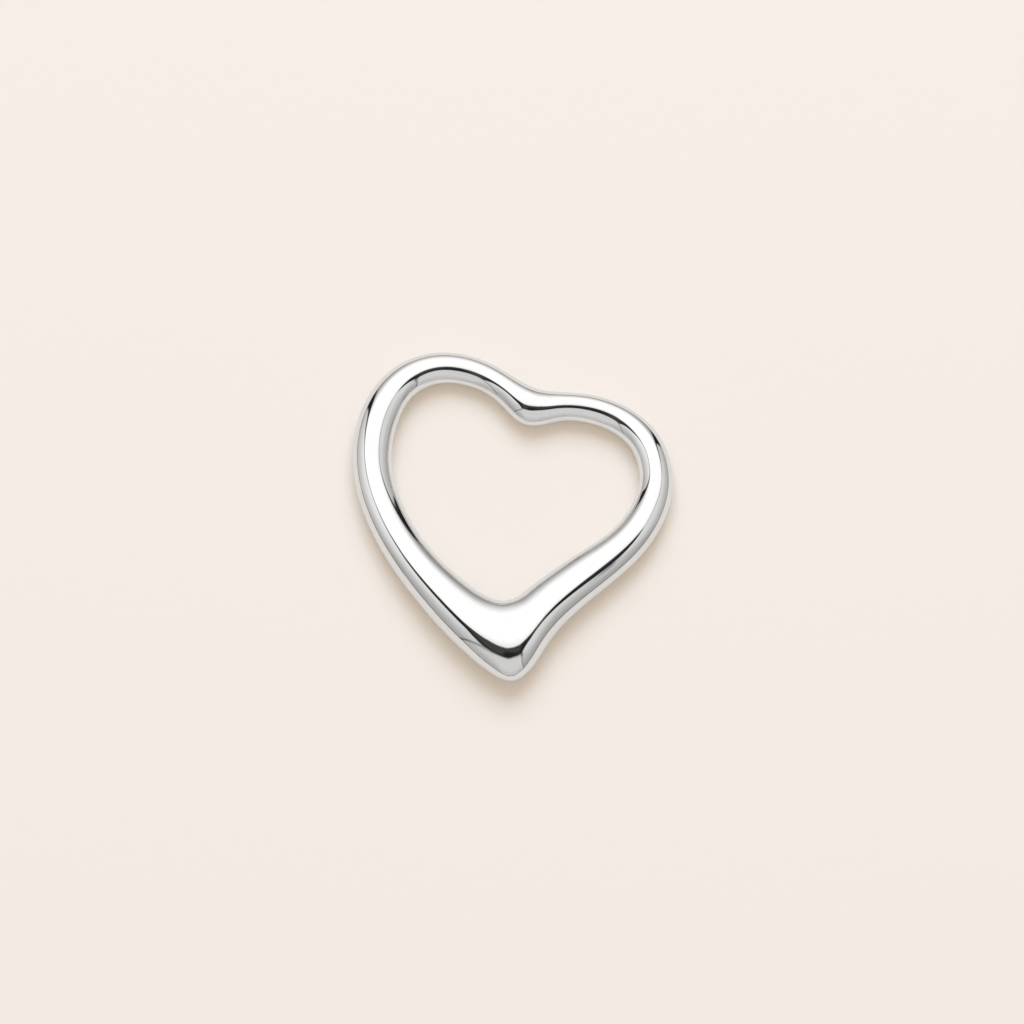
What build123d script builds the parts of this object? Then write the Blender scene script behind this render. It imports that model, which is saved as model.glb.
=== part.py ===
"""Open heart pendant: one cast and polished piece of silver, a full round band bent into a lopsided open heart.

The heart lies on its back. X runs across the lobes, Y from the point up to the lobes, Z out of the face.
The origin is under the middle of the heart, on the surface that it rests on.
"""

import os
from collections import namedtuple
from math import atan2, cos, degrees, radians, sin

from build123d import *

# Driving dimensions
heart_width = 22.0  # overall, across both lobes
heart_height = 23.65  # overall, from the point to the top of the left lobe
point_band = 5.75  # width of the band at the point, from the V of the opening to the tip
point_rise = 3.1  # thickness of the band at the point, its thickest place
land_depth = 0.03  # how much of the round back is flattened where it rests

# The band, row by row, from the dip between the lobes down the left side and back up the right.
# across and up place the middle of the band, as shares of the heart's width and height.
# turn is the way from the inner to the outer edge, in degrees from X towards Y.
# band and rise are shares of the width and the thickness at the point.
# crest is how far the highest line stands outwards of the middle, as a share of half the band.
Row = namedtuple("Row", "across up turn band rise crest")
ROWS = [
    # the dip and the left lobe
    Row(0.051, 0.323, 78, 0.54, 0.74, 0.10),
    Row(-0.007, 0.379, 55, 0.34, 0.67, 0.05),
    Row(-0.096, 0.439, 66, 0.355, 0.59, 0.10),
    Row(-0.231, 0.467, 91, 0.38, 0.615, 0.09),
    Row(-0.363, 0.413, 137, 0.42, 0.72, 0.05),
    # the left side
    Row(-0.434, 0.284, 163, 0.485, 0.77, 0.06),
    Row(-0.447, 0.144, 179, 0.468, 0.755, 0.02),
    Row(-0.407, 0.017, 199, 0.478, 0.775, -0.05),
    Row(-0.343, -0.098, 210, 0.49, 0.82, 0.01),
    Row(-0.26, -0.198, 219, 0.547, 0.885, 0.04),
    # the broad bottom and the point
    Row(-0.175, -0.281, 229, 0.63, 0.945, 0.08),
    Row(-0.113, -0.331, 244, 0.718, 0.97, 0.21),
    Row(-0.057, -0.367, 262, 0.888, 0.975, 0.05),
    Row(-0.011, -0.388, 275, 1.06, 1.0, -0.01),
    Row(0.04, -0.352, 284, 0.868, 0.955, 0.03),
    Row(0.071, -0.311, 290, 0.717, 0.935, 0.09),
    Row(0.124, -0.254, 300, 0.593, 0.90, 0.11),
    # the right side
    Row(0.246, -0.164, 309, 0.544, 0.82, 0.04),
    Row(0.348, -0.094, 321, 0.475, 0.79, 0.01),
    Row(0.417, -0.008, 334, 0.444, 0.765, -0.07),
    Row(0.459, 0.099, 356, 0.40, 0.67, -0.03),
    # the right lobe, back to the dip
    Row(0.431, 0.221, 386, 0.379, 0.68, 0.02),
    Row(0.346, 0.3, 422, 0.348, 0.575, 0.15),
    Row(0.232, 0.335, 441, 0.352, 0.645, 0.12),
    Row(0.136, 0.339, 458, 0.332, 0.60, 0.04),
]

# Shares of the row before, the row itself and the row after, as a cubic B-spline weighs them
NEAR_WEIGHTS = (1 / 6, 4 / 6, 1 / 6)


def smoothed(index):
    """One row, eased towards its two neighbours, so that the band flows without kinks."""
    near = [ROWS[(index + offset) % len(ROWS)] for offset in (-1, 0, 1)]

    def mean(values):
        return sum(weight * value for weight, value in zip(NEAR_WEIGHTS, values))

    across, up, band, rise, crest = (
        mean(getattr(row, column) for row in near) for column in ("across", "up", "band", "rise", "crest")
    )
    outward_x = mean(cos(radians(row.turn)) for row in near)
    outward_y = mean(sin(radians(row.turn)) for row in near)
    return Row(across, up, degrees(atan2(outward_y, outward_x)), band, rise, crest)


stations = [smoothed(index) for index in range(len(ROWS))]
leftmost = min(stations, key=lambda row: row.across)
rightmost = max(stations, key=lambda row: row.across)
lowest = min(stations, key=lambda row: row.up)
highest = max(stations, key=lambda row: row.up)


def along(share, first_share, last_share, first_band, last_band, size):
    """A share's place along an overall size, whose ends are the outer edges of the first and last bands."""
    first_middle = (first_band * point_band - size) / 2
    last_middle = (size - last_band * point_band) / 2
    return first_middle + (last_middle - first_middle) * (share - first_share) / (last_share - first_share)


def band_plane(row):
    """The upright plane across the band at a row, with its own x towards the outer edge."""
    x = along(row.across, leftmost.across, rightmost.across, leftmost.band, rightmost.band, heart_width)
    y = along(row.up, lowest.up, highest.up, lowest.band, highest.band, heart_height)
    outward = Vector(1, 0, 0).rotate(Axis.Z, row.turn)
    return Plane(origin=(x, y, 0), x_dir=outward, z_dir=outward.cross(Vector(0, 0, 1)))


# The band: an oval section at each row, its two sides meeting at the crest, cut to a narrow flat underneath
with BuildPart() as heart:
    sections = []
    for row in stations:
        half_band = row.band * point_band / 2
        half_rise = row.rise * point_rise / 2
        crest = row.crest * half_band
        crest_foot = (crest, half_rise - land_depth)
        with BuildSketch(band_plane(row)) as section:
            with BuildLine():
                EllipticalCenterArc(crest_foot, half_band - crest, half_rise, -90, arc_size=180)
                EllipticalCenterArc(crest_foot, half_band + crest, half_rise, 90, arc_size=180)
            make_face()
        sections.append(section.sketch.face())
    loft(sections=sections + sections[:1])
    split(bisect_by=Plane.XY, keep=Keep.TOP)

heart.part.label = "heart"

os.makedirs("parts", exist_ok=True)
export_step(heart.part, "parts/heart.step")
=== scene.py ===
from collections import namedtuple
from math import cos, radians, sin

import bpy
import numpy as np
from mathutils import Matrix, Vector


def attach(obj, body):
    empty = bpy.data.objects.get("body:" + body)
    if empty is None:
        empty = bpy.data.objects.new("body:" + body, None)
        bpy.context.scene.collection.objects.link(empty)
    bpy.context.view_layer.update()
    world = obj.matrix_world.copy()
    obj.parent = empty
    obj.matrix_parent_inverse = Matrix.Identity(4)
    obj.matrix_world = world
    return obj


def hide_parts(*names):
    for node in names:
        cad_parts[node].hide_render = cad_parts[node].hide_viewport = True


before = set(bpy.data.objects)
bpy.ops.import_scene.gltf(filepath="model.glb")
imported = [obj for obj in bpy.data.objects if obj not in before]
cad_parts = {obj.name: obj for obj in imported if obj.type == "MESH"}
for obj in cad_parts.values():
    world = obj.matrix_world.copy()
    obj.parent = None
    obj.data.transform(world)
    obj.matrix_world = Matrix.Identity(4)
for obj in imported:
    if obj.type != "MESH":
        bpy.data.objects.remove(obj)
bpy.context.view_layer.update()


# The heart
# The whole pendant is one casting in sterling silver: a full, nearly round band bent into a lopsided
# open heart, thickest at its point. It is filed round, then polished on a cloth wheel until it mirrors.

HEART_WIDTH = 0.0220  # overall, across both lobes
HEART_HEIGHT = 0.02365  # overall, from the point to the top of the left lobe
POINT_BAND = 0.00575  # width of the band at the point, from the V of the opening to the tip
POINT_RISE = 0.0031  # thickness of the band at the point, its thickest place
LAND_DEPTH = 0.00003  # how much of the round back is flattened where it rests

# The band, row by row, from the dip between the lobes down the left side and back up the right.
# across and up place the middle of the band, as shares of the heart's width and height.
# turn is the way from the inner to the outer edge, in degrees from X towards Y.
# band and rise are shares of the width and the thickness at the point.
# crest is how far the highest line stands outwards of the middle, as a share of half the band.
Row = namedtuple("Row", "across up turn band rise crest")
ROWS = [
    # the dip and the left lobe
    Row(0.051, 0.323, 78, 0.54, 0.74, 0.10),
    Row(-0.007, 0.379, 55, 0.34, 0.67, 0.05),
    Row(-0.096, 0.439, 66, 0.355, 0.59, 0.10),
    Row(-0.231, 0.467, 91, 0.38, 0.615, 0.09),
    Row(-0.363, 0.413, 137, 0.42, 0.72, 0.05),
    # the left side
    Row(-0.434, 0.284, 163, 0.485, 0.77, 0.06),
    Row(-0.447, 0.144, 179, 0.468, 0.755, 0.02),
    Row(-0.407, 0.017, 199, 0.478, 0.775, -0.05),
    Row(-0.343, -0.098, 210, 0.49, 0.82, 0.01),
    Row(-0.26, -0.198, 219, 0.547, 0.885, 0.04),
    # the broad bottom and the point
    Row(-0.175, -0.281, 229, 0.63, 0.945, 0.08),
    Row(-0.113, -0.331, 244, 0.718, 0.97, 0.21),
    Row(-0.057, -0.367, 262, 0.888, 0.975, 0.05),
    Row(-0.011, -0.388, 275, 1.06, 1.0, -0.01),
    Row(0.04, -0.352, 284, 0.868, 0.955, 0.03),
    Row(0.071, -0.311, 290, 0.717, 0.935, 0.09),
    Row(0.124, -0.254, 300, 0.593, 0.90, 0.11),
    # the right side
    Row(0.246, -0.164, 309, 0.544, 0.82, 0.04),
    Row(0.348, -0.094, 321, 0.475, 0.79, 0.01),
    Row(0.417, -0.008, 334, 0.444, 0.765, -0.07),
    Row(0.459, 0.099, 356, 0.40, 0.67, -0.03),
    # the right lobe, back to the dip
    Row(0.431, 0.221, 386, 0.379, 0.68, 0.02),
    Row(0.346, 0.3, 422, 0.348, 0.575, 0.15),
    Row(0.232, 0.335, 441, 0.352, 0.645, 0.12),
    Row(0.136, 0.339, 458, 0.332, 0.60, 0.04),
]


def eased(index, column):
    """A row's value in the finished band, where a cubic B-spline weighs it 4 to 1 with its neighbours."""
    before, here, after = (getattr(ROWS[(index + step) % len(ROWS)], column) for step in (-1, 0, 1))
    return (before + 4 * here + after) / 6


def places(column, size):
    """Every row's place along one overall size, whose ends are the outer edges of the band."""
    shares = [eased(index, column) for index in range(len(ROWS))]
    first, last = shares.index(min(shares)), shares.index(max(shares))
    first_middle = (eased(first, "band") * POINT_BAND - size) / 2
    last_middle = (size - eased(last, "band") * POINT_BAND) / 2
    per_share = (last_middle - first_middle) / (shares[last] - shares[first])
    return [first_middle + per_share * (getattr(row, column) - shares[first]) for row in ROWS]


row_points = bpy.data.meshes.new("heart_rows")
middles = [(x, y, 0) for x, y in zip(places("across", HEART_WIDTH), places("up", HEART_HEIGHT))]
row_points.from_pydata(middles, [], [])
for name, values in {
    "middle": middles,
    "outward": [(cos(radians(row.turn)), sin(radians(row.turn)), 0) for row in ROWS],
    "half_band": [row.band * POINT_BAND / 2 for row in ROWS],
    "half_rise": [row.rise * POINT_RISE / 2 for row in ROWS],
    "crest": [row.crest for row in ROWS],
}.items():
    is_vector = isinstance(values[0], tuple)
    attribute = row_points.attributes.new(name, "FLOAT_VECTOR" if is_vector else "FLOAT", "POINT")
    for item, value in zip(attribute.data, values):
        setattr(item, "vector" if is_vector else "value", value)


def add(tree, kind, inputs=None, **settings):
    """Adds a node with its settings, then links each input to a socket or gives it a value."""
    node = tree.nodes.new(kind)
    for name, value in settings.items():
        setattr(node, name, value)
    for name, value in (inputs or {}).items():
        if isinstance(value, bpy.types.NodeSocket):
            tree.links.new(value, node.inputs[name])
        else:
            node.inputs[name].default_value = value
    return node


def linear(colour):
    """An sRGB hex colour as linear values."""
    channels = [int(colour[place : place + 2], 16) / 255 for place in (0, 2, 4)]
    return [c / 12.92 if c <= 0.04045 else ((c + 0.055) / 1.055) ** 2.4 for c in channels] + [1]


# Sterling silver, polished: it mirrors its surroundings with hardly a tint, a little hazier in patches
# where it was handled. Seen close, the wheel has left a faint waviness and hairlines.
silver = bpy.data.materials.new("polished_sterling_silver")
silver.use_nodes = True
tree = silver.node_tree
shader = tree.nodes["Principled BSDF"]
shader.inputs["Metallic"].default_value = 1
surface = add(tree, "ShaderNodeTexCoord").outputs["Object"]

HAZE_PATCH = 0.0030
haze = add(tree, "ShaderNodeTexNoise", {"Vector": surface, "Scale": 1 / HAZE_PATCH, "Detail": 3})
gloss = add(
    tree,
    "ShaderNodeMapRange",
    {"Value": haze.outputs["Fac"], "From Min": 0.35, "From Max": 0.7, "To Min": 0.035, "To Max": 0.075},
)
tree.links.new(gloss.outputs["Result"], shader.inputs["Roughness"])

WAVE_LENGTH = 0.0012
WAVE_HEIGHT = 0.000002
wave = add(tree, "ShaderNodeTexNoise", {"Vector": surface, "Scale": 1 / WAVE_LENGTH, "Detail": 1})
waviness = add(
    tree,
    "ShaderNodeBump",
    {"Height": wave.outputs["Fac"], "Strength": 1, "Distance": WAVE_HEIGHT},
)

# The hairlines run along the band, so they are told apart by the place round its section, which the
# sweep below leaves on the mesh. Real ones are a hundredth of a millimetre wide, too fine to show, so
# they are drawn ten times as wide. They also dull the silver slightly.
HAIRLINE_WIDTH = 0.0001
HAIRLINE_RUN = 0.0025
HAIRLINE_DEPTH = 0.0000005
half_band = add(tree, "ShaderNodeAttribute", attribute_name="half_band").outputs["Fac"]
ring_place = add(tree, "ShaderNodeAttribute", attribute_name="ring").outputs["Vector"]
section_place = add(
    tree,
    "ShaderNodeVectorMath",
    {"Vector": ring_place, "Scale": half_band},
    operation="SCALE",
)
narrow = add(
    tree,
    "ShaderNodeVectorMath",
    {"Vector": section_place.outputs["Vector"], "Scale": 1 / HAIRLINE_WIDTH},
    operation="SCALE",
)
long = add(tree, "ShaderNodeVectorMath", {"Vector": surface, "Scale": 1 / HAIRLINE_RUN}, operation="SCALE")
narrow_parts = add(tree, "ShaderNodeSeparateXYZ", {"Vector": narrow.outputs["Vector"]}).outputs
long_parts = add(tree, "ShaderNodeSeparateXYZ", {"Vector": long.outputs["Vector"]}).outputs
grain = add(
    tree,
    "ShaderNodeCombineXYZ",
    {"X": narrow_parts["X"], "Y": narrow_parts["Y"], "Z": long_parts["X"]},
)
hairline = add(
    tree,
    "ShaderNodeTexNoise",
    {"Vector": grain.outputs["Vector"], "W": long_parts["Y"], "Scale": 1, "Detail": 2},
    noise_dimensions="4D",
)
scratch = add(
    tree,
    "ShaderNodeBump",
    {
        "Height": hairline.outputs["Fac"],
        "Strength": 1,
        "Distance": HAIRLINE_DEPTH,
        "Normal": waviness.outputs["Normal"],
    },
)
tree.links.new(scratch.outputs["Normal"], shader.inputs["Normal"])
worn = add(tree, "ShaderNodeMapRange", {"Value": hairline.outputs["Fac"], "From Min": 0.5, "From Max": 0.8})
tone = add(
    tree,
    "ShaderNodeMix",
    {"Factor": worn.outputs["Result"], "A": linear("F5F4F3"), "B": linear("EAE9E7")},
    data_type="RGBA",
)
tree.links.new(tone.outputs["Result"], shader.inputs["Base Color"])

# The band is swept in nodes: a smooth closed curve through the rows carries their values, a ring of
# points follows it, and each point is set out from the middle by the values there.
sweep = bpy.data.node_groups.new("band along rows", "GeometryNodeTree")
for name, kind in {
    "Rows": "NodeSocketGeometry",
    "Steps per Row": "NodeSocketInt",
    "Steps Around": "NodeSocketInt",
    "Land Depth": "NodeSocketFloat",
    "Finish": "NodeSocketMaterial",
}.items():
    sweep.interface.new_socket(name, in_out="INPUT", socket_type=kind)
sweep.interface.new_socket("Band", in_out="OUTPUT", socket_type="NodeSocketGeometry")
given = add(sweep, "NodeGroupInput").outputs

points = add(sweep, "GeometryNodeMeshToPoints", {"Mesh": given["Rows"]})
line = add(sweep, "GeometryNodePointsToCurves", {"Points": points.outputs["Points"]})
closed = add(sweep, "GeometryNodeSetSplineCyclic", {"Geometry": line.outputs["Curves"], "Cyclic": True})
smooth = add(
    sweep,
    "GeometryNodeCurveSplineType",
    {"Curve": closed.outputs["Geometry"]},
    spline_type="NURBS",
)
path = add(
    sweep,
    "GeometryNodeSetSplineResolution",
    {"Geometry": smooth.outputs["Curve"], "Resolution": given["Steps per Row"]},
)

circle = add(sweep, "GeometryNodeCurvePrimitiveCircle", {"Resolution": given["Steps Around"], "Radius": 1})
circle_place = add(sweep, "GeometryNodeInputPosition")
ring = add(
    sweep,
    "GeometryNodeStoreNamedAttribute",
    {"Geometry": circle.outputs["Curve"], "Name": "ring", "Value": circle_place.outputs["Position"]},
    data_type="FLOAT_VECTOR",
)
tube = add(
    sweep,
    "GeometryNodeCurveToMesh",
    {"Curve": path.outputs["Geometry"], "Profile Curve": ring.outputs["Geometry"]},
)
# the ring runs the way that leaves the faces turned inwards
outside = add(sweep, "GeometryNodeFlipFaces", {"Mesh": tube.outputs["Mesh"]})

carried = {
    name: add(sweep, "GeometryNodeInputNamedAttribute", {"Name": name}, data_type=kind).outputs["Attribute"]
    for name, kind in {
        "middle": "FLOAT_VECTOR",
        "outward": "FLOAT_VECTOR",
        "ring": "FLOAT_VECTOR",
        "half_band": "FLOAT",
        "half_rise": "FLOAT",
        "crest": "FLOAT",
    }.items()
}
around = add(sweep, "ShaderNodeSeparateXYZ", {"Vector": carried["ring"]}).outputs
# out from the middle: half the band times (ring x + crest (1 - |ring x|))
side = add(sweep, "ShaderNodeMath", {0: around["X"]}, operation="ABSOLUTE")
inset = add(sweep, "ShaderNodeMath", {0: 1.0, 1: side.outputs["Value"]}, operation="SUBTRACT")
lean = add(
    sweep,
    "ShaderNodeMath",
    {0: carried["crest"], 1: inset.outputs["Value"], 2: around["X"]},
    operation="MULTIPLY_ADD",
)
reach = add(
    sweep,
    "ShaderNodeMath",
    {0: lean.outputs["Value"], 1: carried["half_band"]},
    operation="MULTIPLY",
)
# up from the rest: half the rise times (ring y + 1), less the land, and no lower than the rest
lift = add(
    sweep,
    "ShaderNodeMath",
    {0: around["Y"], 1: carried["half_rise"], 2: carried["half_rise"]},
    operation="MULTIPLY_ADD",
)
sunk = add(sweep, "ShaderNodeMath", {0: lift.outputs["Value"], 1: given["Land Depth"]}, operation="SUBTRACT")
height = add(sweep, "ShaderNodeMath", {0: sunk.outputs["Value"], 1: 0.0}, operation="MAXIMUM")
upward = add(sweep, "ShaderNodeCombineXYZ", {"Z": height.outputs["Value"]})

direction = add(sweep, "ShaderNodeVectorMath", {0: carried["outward"]}, operation="NORMALIZE")
offset = add(
    sweep,
    "ShaderNodeVectorMath",
    {"Vector": direction.outputs["Vector"], "Scale": reach.outputs["Value"]},
    operation="SCALE",
)
edge = add(
    sweep,
    "ShaderNodeVectorMath",
    {0: carried["middle"], 1: offset.outputs["Vector"]},
    operation="ADD",
)
spot = add(
    sweep,
    "ShaderNodeVectorMath",
    {0: edge.outputs["Vector"], 1: upward.outputs["Vector"]},
    operation="ADD",
)
shaped = add(
    sweep,
    "GeometryNodeSetPosition",
    {"Geometry": outside.outputs["Mesh"], "Position": spot.outputs["Vector"]},
)
rounded = add(
    sweep,
    "GeometryNodeSetShadeSmooth",
    {"Geometry": shaped.outputs["Geometry"], "Shade Smooth": True},
)
realized = add(sweep, "GeometryNodeRealizeInstances", {"Geometry": rounded.outputs["Geometry"]})
finished = add(
    sweep,
    "GeometryNodeSetMaterial",
    {"Geometry": realized.outputs["Geometry"], "Material": given["Finish"]},
)
add(sweep, "NodeGroupOutput", {"Band": finished.outputs["Geometry"]})

blank = bpy.data.objects.new("heart_rows", row_points)
bpy.context.collection.objects.link(blank)
modifier = blank.modifiers.new("band", "NODES")
modifier.node_group = sweep
sockets = {item.name: item.identifier for item in sweep.interface.items_tree if item.in_out == "INPUT"}
for name, value in {
    "Steps per Row": 30,
    "Steps Around": 96,
    "Land Depth": LAND_DEPTH,
    "Finish": silver,
}.items():
    modifier[sockets[name]] = value
depsgraph = bpy.context.evaluated_depsgraph_get()
heart_mesh = bpy.data.meshes.new_from_object(blank.evaluated_get(depsgraph), depsgraph=depsgraph)
blank.modifiers.remove(modifier)
bpy.data.objects.remove(blank)

heart = bpy.data.objects.new("silver_heart", heart_mesh)
bpy.context.collection.objects.link(heart)
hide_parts("heart")
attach(heart, "root")


# The paper
# A large sheet of smooth cream paper that the pendant lies on: uncoated, so quite matt, with a faint
# unevenness where its fibres clump. Where the silver mirrors it, its colour is painted greyer: painted shade
# in the reflection, not the paper's own colour.

SHEET_SIZE = 1.2
FIBRE_CLUMP = 0.0012
FIBRE_HEIGHT = 0.00003

paper = bpy.data.materials.new("cream_uncoated_paper")
paper.use_nodes = True
tree = paper.node_tree
shader = tree.nodes["Principled BSDF"]
# painted shade: rays from the silver see the paper in a greyer colour than its cream, darkening its
# reflection
mirrored = add(tree, "ShaderNodeLightPath").outputs["Is Glossy Ray"]
cream_and_painted_mirror_grey = add(
    tree,
    "ShaderNodeMix",
    {"Factor": mirrored, "A": linear("F7EFE6"), "B": linear("E8E5E0")},
    data_type="RGBA",
)
tree.links.new(cream_and_painted_mirror_grey.outputs["Result"], shader.inputs["Base Color"])
shader.inputs["Roughness"].default_value = 0.9
shader.inputs["Specular IOR Level"].default_value = 0.2
surface = add(tree, "ShaderNodeTexCoord").outputs["Object"]
fibre = add(tree, "ShaderNodeTexNoise", {"Vector": surface, "Scale": 1 / FIBRE_CLUMP, "Detail": 6})
tooth = add(
    tree,
    "ShaderNodeBump",
    {"Height": fibre.outputs["Fac"], "Strength": 0.3, "Distance": FIBRE_HEIGHT},
)
tree.links.new(tooth.outputs["Normal"], shader.inputs["Normal"])

sheet = bpy.data.meshes.new("paper_sheet")
corners = [(x * SHEET_SIZE / 2, y * SHEET_SIZE / 2, 0) for x, y in ((-1, -1), (1, -1), (1, 1), (-1, 1))]
sheet.from_pydata(corners, [], [(0, 1, 2, 3)])
sheet.materials.append(paper)
floor = bpy.data.objects.new("paper_sheet", sheet)
bpy.context.collection.objects.link(floor)


# The studio
# The pendant stands in a tent of white panels: a large lit one overhead and behind, paler cards on the
# other sides, and a dark slot for the camera. The gaps between them draw the black lines in the silver.
# The tent is drawn on a map of the sky, in degrees from straight up, towards the right and the back.

TENT_RADIUS = 1.0
TENT_FOOT = 89.4
MAP_STEP = 0.6
SIDE_FALL = 1.37  # how much faster the overhead panel fades to the sides than to the back
steps = np.arange(-TENT_FOOT, TENT_FOOT + MAP_STEP, MAP_STEP)
right, behind = np.meshgrid(steps, steps)
left, front = -right, -behind
from_top = np.hypot(right, behind)
off_centre = np.hypot(SIDE_FALL * right, behind)


def ramp(first, last, share):
    """Goes smoothly from the first value to the last while the share goes from 0 to 1."""
    share = np.clip(share, 0, 1)
    return first + (last - first) * share * share * (3 - 2 * share)


def depth(corners):
    """How far each place on the map lies inside an outline, in degrees, and below zero outside it."""
    nearest = np.full(right.shape, np.inf)
    inside = np.zeros(right.shape, bool)
    for (x, y), (next_x, next_y) in zip(corners, corners[1:] + corners[:1]):
        run, rise = next_x - x, next_y - y
        share = np.clip(((right - x) * run + (behind - y) * rise) / (run**2 + rise**2), 0, 1)
        nearest = np.minimum(nearest, np.hypot(right - x - share * run, behind - y - share * rise))
        if rise:
            inside ^= ((y > behind) != (next_y > behind)) & (right < run * (behind - y) / rise + x)
    return np.where(inside, nearest, -nearest)


# Each panel's corners and brightness, the softness of its edge where it is near the top and where it
# is low, in degrees, and its fades: along what, from where to where, and how much is left at the end.
Panel = namedtuple("Panel", "corners bright soft_high soft_low fades")
PANELS = {
    "camera slot": Panel(
        [(-24, -5), (26, -5), (27, -14), (10, -12), (-5, -12), (-14, -20), (-24, -20)],
        0.058, 8, 8, [],
    ),
    "left card": Panel(
        [(-34, -27.1), (-29.3, -23.5), (-31, -12), (-36, -5), (-37.5, -1), (-35.9, 8), (-39.3, 20),
         (-42.5, 24.5), (-49, 36), (-54.5, 42.5), (-70, 55), (-110, 80), (-130, -77.7)],
        0.88, 3, 2.5, [(from_top, 40, 88, 0.59), (front, -5, 25, 0.74)],
    ),
    "front card": Panel(
        [(-34, -28.7), (-28.8, -25.2), (-24, -23.7), (-2, -25.2), (6, -24.2), (14, -22), (28, -20.2),
         (31.7, -19.3), (38.3, -23.5), (47.4, -36.6), (101, -85), (80, -130), (-80, -130), (-130, -79.3)],
        0.68, 6, 1.5, [(from_top, 55, 84, 0.82), (left, 28, 52, 0.82)],
    ),
    "right card": Panel(
        [(34.5, -16), (35.5, -5), (35, -1), (33.4, 2.5), (34, 8), (38, 26), (40.5, 34.5), (43, 40),
         (46.5, 44.2), (53, 47.4), (62, 50.3), (95, 72), (130, 60), (130, -67), (101.6, -84),
         (48.4, -35.6), (39.6, -21.7)],
        0.75, 3, 1.5, [(from_top, 40, 86, 0.6), (front, 8, 26, 0.82)],
    ),
    "overhead": Panel(
        [(-33.5, 8), (-31.5, 4), (-24, -0.5), (-14, -4.3), (-2, -5), (22, -2.4), (30, 1.8), (32.6, 3.5),
         (32.6, 9), (35, 21), (35.6, 31), (37, 37.5), (42.5, 51), (48, 62.5), (72, 94), (0, 130), (-78, 95),
         (-55, 64), (-45.5, 46), (-40.5, 32), (-37.5, 24.5)],
        1.15, 3, 6, [(off_centre, 48, 92, 0.355), (front, -12, 12, 0.71), (right, 15, 50, 0.755)],
    ),
}
HIGH, LOW = 45, 75  # where the edges have their high and their low softness, in degrees from straight up
GAP_GLOW = 0.015

glow = np.full(right.shape, GAP_GLOW)
for panel in PANELS.values():
    brightness = panel.bright
    for along, start, end, left_over in panel.fades:
        brightness = brightness * ramp(1, left_over, (along - start) / (end - start))
    softness = ramp(panel.soft_high, panel.soft_low, (from_top - HIGH) / (LOW - HIGH))
    glow += (brightness - glow) * ramp(0, 1, depth(panel.corners) / softness + 0.5)

# the foot of the tent lies in shade, and draws the line between the tent and the paper in the silver
SHADE_START, SHADE_FULL = 86, 89
SHADE_GLOW = 0.03
glow *= ramp(1, SHADE_GLOW, (from_top - SHADE_START) / (SHADE_FULL - SHADE_START))

bearing = np.arctan2(behind, right)
tilt = np.radians(from_top)
toward_sky = [np.sin(tilt) * np.cos(bearing), np.sin(tilt) * np.sin(bearing), np.cos(tilt)]
spots = np.dstack(toward_sky) * TENT_RADIUS
count = len(steps)
numbers = np.arange(count * count).reshape(count, count)
cells = np.dstack([numbers[:-1, :-1], numbers[1:, :-1], numbers[1:, 1:], numbers[:-1, 1:]]).reshape(-1, 4)
cells = cells[(from_top.ravel()[cells] <= TENT_FOOT).all(axis=1)]
tent_mesh = bpy.data.meshes.new("tent")
tent_mesh.from_pydata(spots.reshape(-1, 3).tolist(), [], cells.tolist())
tent_mesh.attributes.new("glow", "FLOAT", "POINT").data.foreach_set("value", glow.ravel())

# The cloth only shows mirrored in the silver, as bright as it is on the map. What the silver throws
# back onto the paper is made warmer and brighter than that.
THROWN_BACK = (2.4, 2.2, 1.9, 1)
cloth = bpy.data.materials.new("lit_tent_cloth")
cloth.use_nodes = True
cloth.cycles.emission_sampling = "NONE"
tree = cloth.node_tree
tree.nodes.clear()
strength = add(tree, "ShaderNodeAttribute", attribute_name="glow")
thrown = add(tree, "ShaderNodeLightPath").outputs["Diffuse Depth"]
tint = add(
    tree,
    "ShaderNodeMix",
    {"Factor": thrown, "A": (1, 1, 1, 1), "B": THROWN_BACK},
    data_type="RGBA",
)
light = add(
    tree,
    "ShaderNodeEmission",
    {"Color": tint.outputs["Result"], "Strength": strength.outputs["Fac"]},
)
add(tree, "ShaderNodeOutputMaterial", {"Surface": light.outputs["Emission"]})
tent_mesh.materials.append(cloth)
tent = bpy.data.objects.new("tent", tent_mesh)
bpy.context.collection.objects.link(tent)
for ray in ("camera", "diffuse", "shadow"):
    setattr(tent, "visible_" + ray, False)

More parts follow.
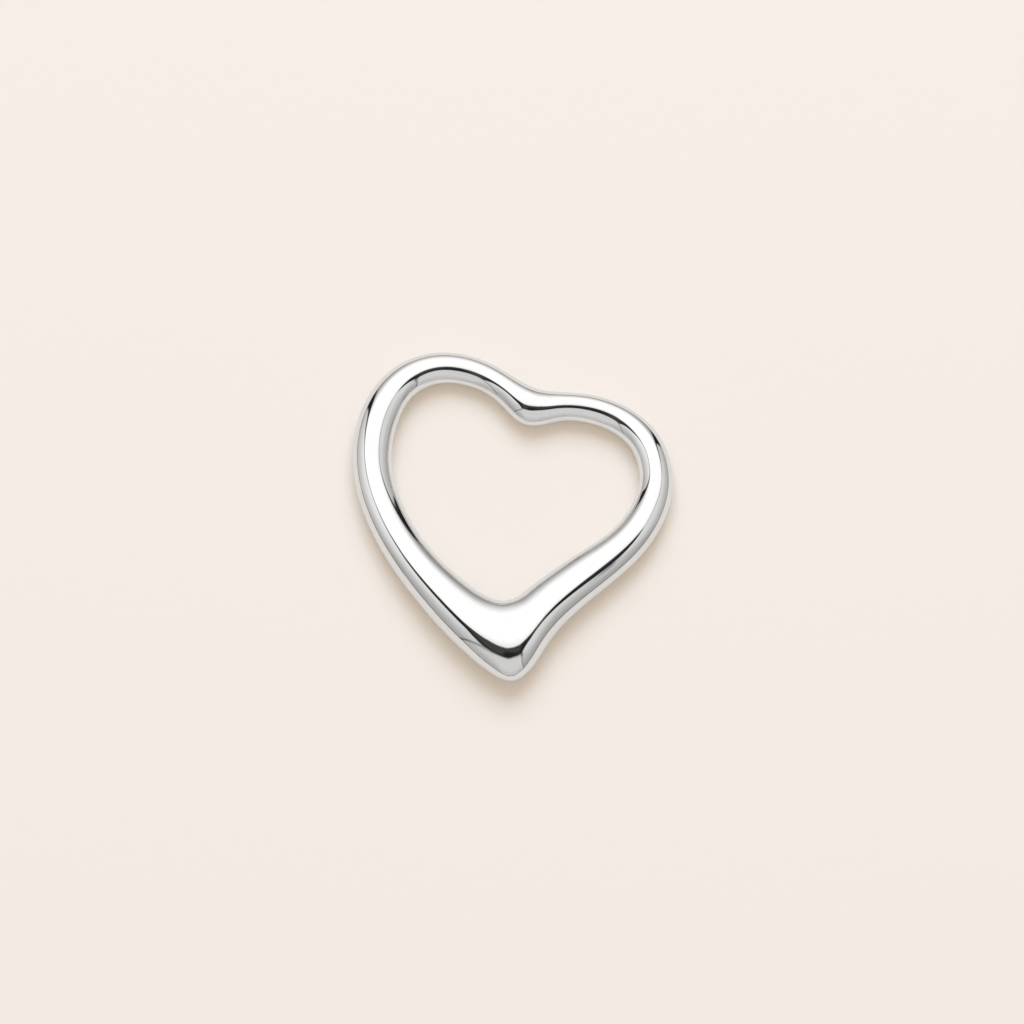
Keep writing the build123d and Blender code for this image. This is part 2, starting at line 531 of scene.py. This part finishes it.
# The same tent lights the paper: a broad cool key from the overhead panel, and a warm light from all
# round that the cream paper and the room throw back. Both are left to the paper, as the silver already
# mirrors the tent itself.
KEY_WIDTH, KEY_DEPTH = 0.73, 0.69
KEY_WATTS = 6.27
KEY_COLOUR = (0.683, 0.82, 1.0)
KEY_RIGHT, KEY_BACK = radians(1), radians(38)
key_light = bpy.data.lights.new("overhead_key", "AREA")
key_light.shape = "RECTANGLE"
key_light.size, key_light.size_y = KEY_WIDTH, KEY_DEPTH
key_light.energy = KEY_WATTS
key_light.color = KEY_COLOUR
key = bpy.data.objects.new("overhead_key", key_light)
toward_key = Vector((sin(KEY_RIGHT), sin(KEY_BACK), cos(KEY_BACK))).normalized()
key.location = toward_key * TENT_RADIUS
key.rotation_mode = "QUATERNION"
key.rotation_quaternion = (-toward_key).to_track_quat("-Z", "Y")
key.visible_glossy = False
bpy.context.collection.objects.link(key)

FILL_COLOUR = (0.685, 0.623, 0.561, 1)
world = bpy.data.worlds.new("studio")
bpy.context.scene.world = world
world.use_nodes = True
world.cycles_visibility.glossy = False
tree = world.node_tree
tree.nodes.clear()
seen = add(tree, "ShaderNodeLightPath").outputs["Is Camera Ray"]
fill = add(tree, "ShaderNodeBackground", {"Color": FILL_COLOUR, "Strength": 1})
backdrop = add(tree, "ShaderNodeBackground", {"Color": linear("F5EEE6"), "Strength": 1})
either = add(
    tree,
    "ShaderNodeMixShader",
    {0: seen, 1: fill.outputs["Background"], 2: backdrop.outputs["Background"]},
)
add(tree, "ShaderNodeOutputWorld", {"Surface": either.outputs["Shader"]})


# The camera
# It looks down from the point's side, 16.5 degrees off straight above. Its long lens stands so far back
# that the heart's near and far sides show in the same scale.

CAMERA_TILT = radians(16.5)
LENS = 400
FRAME_WIDTH = 0.07028
AIM = Vector((-0.00006, 0.0003, 0.0013))

optics = bpy.data.cameras.new("camera")
optics.lens = LENS
optics.clip_start, optics.clip_end = 0.01, 10
distance = FRAME_WIDTH * LENS / optics.sensor_width
toward_camera = Vector((0, -sin(CAMERA_TILT), cos(CAMERA_TILT)))
camera = bpy.data.objects.new("camera", optics)
camera.location = AIM + toward_camera * distance
camera.rotation_mode = "QUATERNION"
camera.rotation_quaternion = (-toward_camera).to_track_quat("-Z", "Y")
bpy.context.collection.objects.link(camera)
bpy.context.scene.camera = camera
bpy.context.scene.view_settings.view_transform = "Standard"
